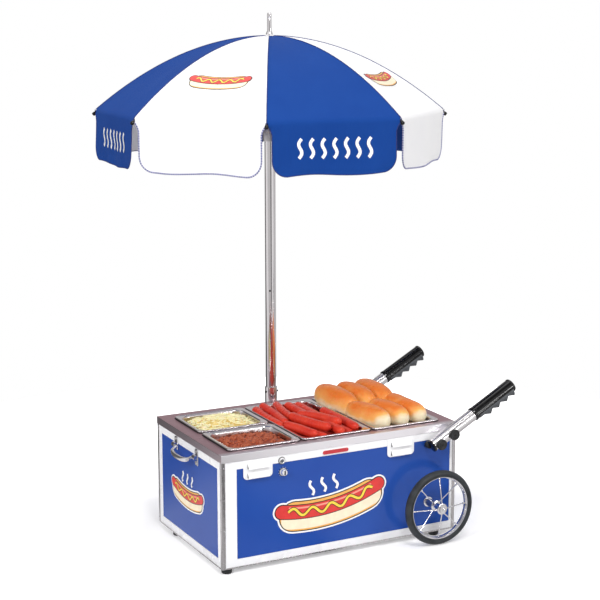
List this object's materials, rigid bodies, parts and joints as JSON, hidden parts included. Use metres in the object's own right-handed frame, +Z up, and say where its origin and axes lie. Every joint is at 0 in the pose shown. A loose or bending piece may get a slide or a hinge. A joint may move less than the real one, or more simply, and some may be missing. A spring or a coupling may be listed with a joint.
{
  "type": "push vending cart",
  "caption": "Countertop food vending cart: steam-table body on spoked wheels, lift-off pans with food, push handles, carry bail and a folding two-colour umbrella on a pole.",
  "frame": {"origin": "centre of the body's footprint at the base plate's underside, level with the body's bottom edge and 12 mm above the surface that the feet stand on", "axes": "+X towards the push handles, +Y towards the umbrella pole, +Z up"},
  "size_m": [0.8299, 0.8361, 1.2],
  "materials": {
    "white_enamel": "white enamel, satin",
    "blue_panel": "gloss",
    "steel": "brushed",
    "rib_steel": "satin",
    "chrome": "polished",
    "tyre": "matte",
    "foot_rubber": "matte",
    "grip_plastic": "gloss",
    "heater_sheath": "matte",
    "canopy_cloth": "woven, blue and white gores",
    "chili": "food, glossy sauce",
    "cheese": "food, shredded",
    "franks": "food, glossy skins",
    "buns": "food, baked crust"
  },
  "bodies": {
    "cart_body": {"body_frame": "white_enamel", "base_plate": "steel", "front_panel": "blue_panel", "rear_panel": "blue_panel", "left_panel": "blue_panel", "right_panel": "blue_panel", "foot_front_left": "foot_rubber", "foot_rear_left": "foot_rubber", "foot_front_right": "foot_rubber", "foot_rear_right": "foot_rubber", "left_vent": "white_enamel", "right_vent": "white_enamel", "deck": "steel", "water_well": "steel", "heating_element": "heater_sheath", "axle": "steel", "front_handle": "chrome", "rear_handle": "chrome", "front_grip": "grip_plastic", "rear_grip": "grip_plastic", "carry_bracket_front": "chrome", "carry_bracket_rear": "chrome", "pole_socket": "chrome"},
    "temperature_knob": {"temperature_knob": "chrome"},
    "pan_front_left": {"pan_front_left": "steel", "chili": "chili"},
    "pan_rear_left": {"pan_rear_left": "steel", "cheese": "cheese"},
    "pan_middle": {"pan_middle": "steel", "franks": "franks"},
    "bun_tray": {"bun_tray": "steel", "buns": "buns"},
    "carry_bail": {"carry_bail": "chrome"},
    "umbrella": {"pole": "chrome", "canopy": "canopy_cloth"},
    "runner": {"runner": "steel"},
    "front_wheel": {"front_wheel": "chrome", "front_tyre": "tyre"},
    "front_knob_1": {"front_knob_1": "grip_plastic"},
    "front_knob_2": {"front_knob_2": "grip_plastic"},
    "rear_wheel": {"rear_wheel": "chrome", "rear_tyre": "tyre"},
    "rear_knob_1": {"rear_knob_1": "grip_plastic"},
    "rear_knob_2": {"rear_knob_2": "grip_plastic"},
    "rib_1": {"rib_1": "rib_steel"},
    "stretcher_1": {"stretcher_1": "rib_steel"},
    "rib_2": {"rib_2": "rib_steel"},
    "stretcher_2": {"stretcher_2": "rib_steel"},
    "rib_3": {"rib_3": "rib_steel"},
    "stretcher_3": {"stretcher_3": "rib_steel"},
    "rib_4": {"rib_4": "rib_steel"},
    "stretcher_4": {"stretcher_4": "rib_steel"},
    "rib_5": {"rib_5": "rib_steel"},
    "stretcher_5": {"stretcher_5": "rib_steel"},
    "rib_6": {"rib_6": "rib_steel"},
    "stretcher_6": {"stretcher_6": "rib_steel"},
    "rib_7": {"rib_7": "rib_steel"},
    "stretcher_7": {"stretcher_7": "rib_steel"},
    "rib_8": {"rib_8": "rib_steel"},
    "stretcher_8": {"stretcher_8": "rib_steel"}
  },
  "joints": [
    {"name": "front_wheel_spin", "type": "hinge", "parent": "cart_body", "child": "front_wheel", "pos_m": [0.225, -0.228, 0.0758], "axis": [0, 1, 0], "continuous": true},
    {"name": "rear_wheel_spin", "type": "hinge", "parent": "cart_body", "child": "rear_wheel", "pos_m": [0.225, 0.228, 0.0758], "axis": [0, 1, 0], "continuous": true},
    {"name": "front_knob_1_turn", "type": "hinge", "parent": "cart_body", "child": "front_knob_1", "pos_m": [0.23672, -0.201, 0.22046], "axis": [0, 1, 0], "continuous": true},
    {"name": "front_knob_2_turn", "type": "hinge", "parent": "cart_body", "child": "front_knob_2", "pos_m": [0.27086, -0.201, 0.23931], "axis": [0, 1, 0], "continuous": true},
    {"name": "rear_knob_1_turn", "type": "hinge", "parent": "cart_body", "child": "rear_knob_1", "pos_m": [0.23672, 0.201, 0.22046], "axis": [0, 1, 0], "continuous": true},
    {"name": "rear_knob_2_turn", "type": "hinge", "parent": "cart_body", "child": "rear_knob_2", "pos_m": [0.27086, 0.201, 0.23931], "axis": [0, 1, 0], "continuous": true},
    {"name": "temperature_knob_turn", "type": "hinge", "parent": "cart_body", "child": "temperature_knob", "pos_m": [-0.15, -0.181, 0.202], "axis": [0, -1, 0], "range_deg": [-135, 135]},
    {"name": "carry_bail_swing", "type": "hinge", "parent": "cart_body", "child": "carry_bail", "pos_m": [-0.3033, 0.006, 0.221], "axis": [0, 1, 0], "range_deg": [-42, 60]},
    {"name": "pan_front_left_lift", "type": "slide", "parent": "cart_body", "child": "pan_front_left", "axis": [0, 0, 1], "range_m": [0, 0.16]},
    {"name": "pan_rear_left_lift", "type": "slide", "parent": "cart_body", "child": "pan_rear_left", "axis": [0, 0, 1], "range_m": [0, 0.16]},
    {"name": "pan_middle_lift", "type": "slide", "parent": "cart_body", "child": "pan_middle", "axis": [0, 0, 1], "range_m": [0, 0.16]},
    {"name": "bun_tray_lift", "type": "slide", "parent": "cart_body", "child": "bun_tray", "axis": [0, 0, 1], "range_m": [0, 0.08]},
    {"name": "umbrella_turn", "type": "hinge", "parent": "cart_body", "child": "umbrella", "pos_m": [0.008, 0.198, 0.3], "axis": [0, 0, 1], "continuous": true},
    {"name": "umbrella_fold", "type": "slide", "parent": "umbrella", "child": "runner", "axis": [0, 0, -1], "range_m": [0, 0.1714], "deforming": ["canopy"]},
    {"name": "rib_1_fold", "type": "hinge", "parent": "umbrella", "child": "rib_1", "pos_m": [-0.00157, 0.17931, 1.127], "axis": [0.8902, -0.4555, 0], "range_deg": [-1, 55]},
    {"name": "stretcher_1_fold", "type": "hinge", "parent": "rib_1", "child": "stretcher_1", "pos_m": [-0.07673, 0.03242, 1.08616], "axis": [-0.8902, 0.4555, 0], "range_deg": [-1, 83.3]},
    {"name": "rib_2_fold", "type": "hinge", "parent": "umbrella", "child": "rib_2", "pos_m": [0.01445, 0.17802, 1.127], "axis": [0.9516, 0.3074, 0], "range_deg": [-1, 55]},
    {"name": "stretcher_2_fold", "type": "hinge", "parent": "rib_2", "child": "stretcher_2", "pos_m": [0.06517, 0.021, 1.08616], "axis": [-0.9516, -0.3074, 0], "range_deg": [-1, 83.3]},
    {"name": "rib_3_fold", "type": "hinge", "parent": "umbrella", "child": "rib_3", "pos_m": [0.02669, 0.18843, 1.127], "axis": [0.4555, 0.8902, 0], "range_deg": [-1, 55]},
    {"name": "stretcher_3_fold", "type": "hinge", "parent": "rib_3", "child": "stretcher_3", "pos_m": [0.17358, 0.11327, 1.08616], "axis": [-0.4555, -0.8902, 0], "range_deg": [-1, 83.3]},
    {"name": "rib_4_fold", "type": "hinge", "parent": "umbrella", "child": "rib_4", "pos_m": [0.02798, 0.20445, 1.127], "axis": [-0.3074, 0.9516, 0], "range_deg": [-1, 55]},
    {"name": "stretcher_4_fold", "type": "hinge", "parent": "rib_4", "child": "stretcher_4", "pos_m": [0.185, 0.25517, 1.08616], "axis": [0.3074, -0.9516, 0], "range_deg": [-1, 83.3]},
    {"name": "rib_5_fold", "type": "hinge", "parent": "umbrella", "child": "rib_5", "pos_m": [0.01757, 0.21669, 1.127], "axis": [-0.8902, 0.4555, 0], "range_deg": [-1, 55]},
    {"name": "stretcher_5_fold", "type": "hinge", "parent": "rib_5", "child": "stretcher_5", "pos_m": [0.09273, 0.36358, 1.08616], "axis": [0.8902, -0.4555, 0], "range_deg": [-1, 83.3]},
    {"name": "rib_6_fold", "type": "hinge", "parent": "umbrella", "child": "rib_6", "pos_m": [0.00155, 0.21798, 1.127], "axis": [-0.9516, -0.3074, 0], "range_deg": [-1, 55]},
    {"name": "stretcher_6_fold", "type": "hinge", "parent": "rib_6", "child": "stretcher_6", "pos_m": [-0.04917, 0.375, 1.08616], "axis": [0.9516, 0.3074, 0], "range_deg": [-1, 83.3]},
    {"name": "rib_7_fold", "type": "hinge", "parent": "umbrella", "child": "rib_7", "pos_m": [-0.01069, 0.20757, 1.127], "axis": [-0.4555, -0.8902, 0], "range_deg": [-1, 55]},
    {"name": "stretcher_7_fold", "type": "hinge", "parent": "rib_7", "child": "stretcher_7", "pos_m": [-0.15758, 0.28273, 1.08616], "axis": [0.4555, 0.8902, 0], "range_deg": [-1, 83.3]},
    {"name": "rib_8_fold", "type": "hinge", "parent": "umbrella", "child": "rib_8", "pos_m": [-0.01198, 0.19155, 1.127], "axis": [0.3074, -0.9516, 0], "range_deg": [-1, 55]},
    {"name": "stretcher_8_fold", "type": "hinge", "parent": "rib_8", "child": "stretcher_8", "pos_m": [-0.169, 0.14083, 1.08616], "axis": [-0.3074, 0.9516, 0], "range_deg": [-1, 83.3]}
  ],
  "couplings": [
    {"joint": "rib_1_fold", "follows": "umbrella_fold", "rad_per_m": 5.4987},
    {"joint": "stretcher_1_fold", "follows": "umbrella_fold", "rad_per_m": 8.3808},
    {"joint": "rib_2_fold", "follows": "umbrella_fold", "rad_per_m": 5.4987},
    {"joint": "stretcher_2_fold", "follows": "umbrella_fold", "rad_per_m": 8.3808},
    {"joint": "rib_3_fold", "follows": "umbrella_fold", "rad_per_m": 5.4987},
    {"joint": "stretcher_3_fold", "follows": "umbrella_fold", "rad_per_m": 8.3808},
    {"joint": "rib_4_fold", "follows": "umbrella_fold", "rad_per_m": 5.4987},
    {"joint": "stretcher_4_fold", "follows": "umbrella_fold", "rad_per_m": 8.3808},
    {"joint": "rib_5_fold", "follows": "umbrella_fold", "rad_per_m": 5.4987},
    {"joint": "stretcher_5_fold", "follows": "umbrella_fold", "rad_per_m": 8.3808},
    {"joint": "rib_6_fold", "follows": "umbrella_fold", "rad_per_m": 5.4987},
    {"joint": "stretcher_6_fold", "follows": "umbrella_fold", "rad_per_m": 8.3808},
    {"joint": "rib_7_fold", "follows": "umbrella_fold", "rad_per_m": 5.4987},
    {"joint": "stretcher_7_fold", "follows": "umbrella_fold", "rad_per_m": 8.3808},
    {"joint": "rib_8_fold", "follows": "umbrella_fold", "rad_per_m": 5.4987},
    {"joint": "stretcher_8_fold", "follows": "umbrella_fold", "rad_per_m": 8.3808}
  ]
}
